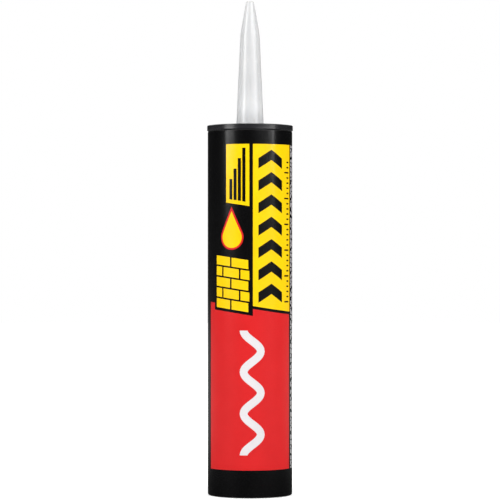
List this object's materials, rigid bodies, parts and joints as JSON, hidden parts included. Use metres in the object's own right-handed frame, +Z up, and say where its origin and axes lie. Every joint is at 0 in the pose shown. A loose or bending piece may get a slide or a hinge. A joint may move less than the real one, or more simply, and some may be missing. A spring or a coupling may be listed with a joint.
{
  "type": "construction adhesive cartridge",
  "caption": "Upright caulking-gun cartridge: labelled paper tube, rimmed end cap, closed tapered nozzle and a sliding piston in its open tail.",
  "frame": {"origin": "centre of the tail end, on the surface that the cartridge stands on", "axes": "+Z up the tube towards the nozzle, -Y out of the front of the label, +X to the right of the front"},
  "size_m": [0.0504, 0.0504, 0.2894],
  "materials": {
    "tube_board": "matt board, dark outside",
    "film_black": "glossy printed film",
    "ink_red": "glossy print",
    "ink_yellow": "glossy print",
    "ink_white": "glossy print",
    "cap_plastic": "semi-gloss moulded",
    "nozzle_plastic": "translucent, satin",
    "foil": "foil",
    "paste": "uncured paste",
    "piston_plastic": "natural moulded"
  },
  "bodies": {
    "cartridge": {"barrel": "tube_board", "label": "film_black", "print_red": "ink_red", "print_yellow": "ink_yellow", "print_white": "ink_white", "end_cap": "cap_plastic", "nozzle": "nozzle_plastic", "seal_foil": "foil", "adhesive": "paste"},
    "plunger": {"piston": "piston_plastic"}
  },
  "joints": [
    {"name": "piston_slide", "type": "slide", "parent": "cartridge", "child": "plunger", "axis": [0, 0, 1], "range_m": [0, 0.1771], "deforming": ["adhesive"]}
  ]
}
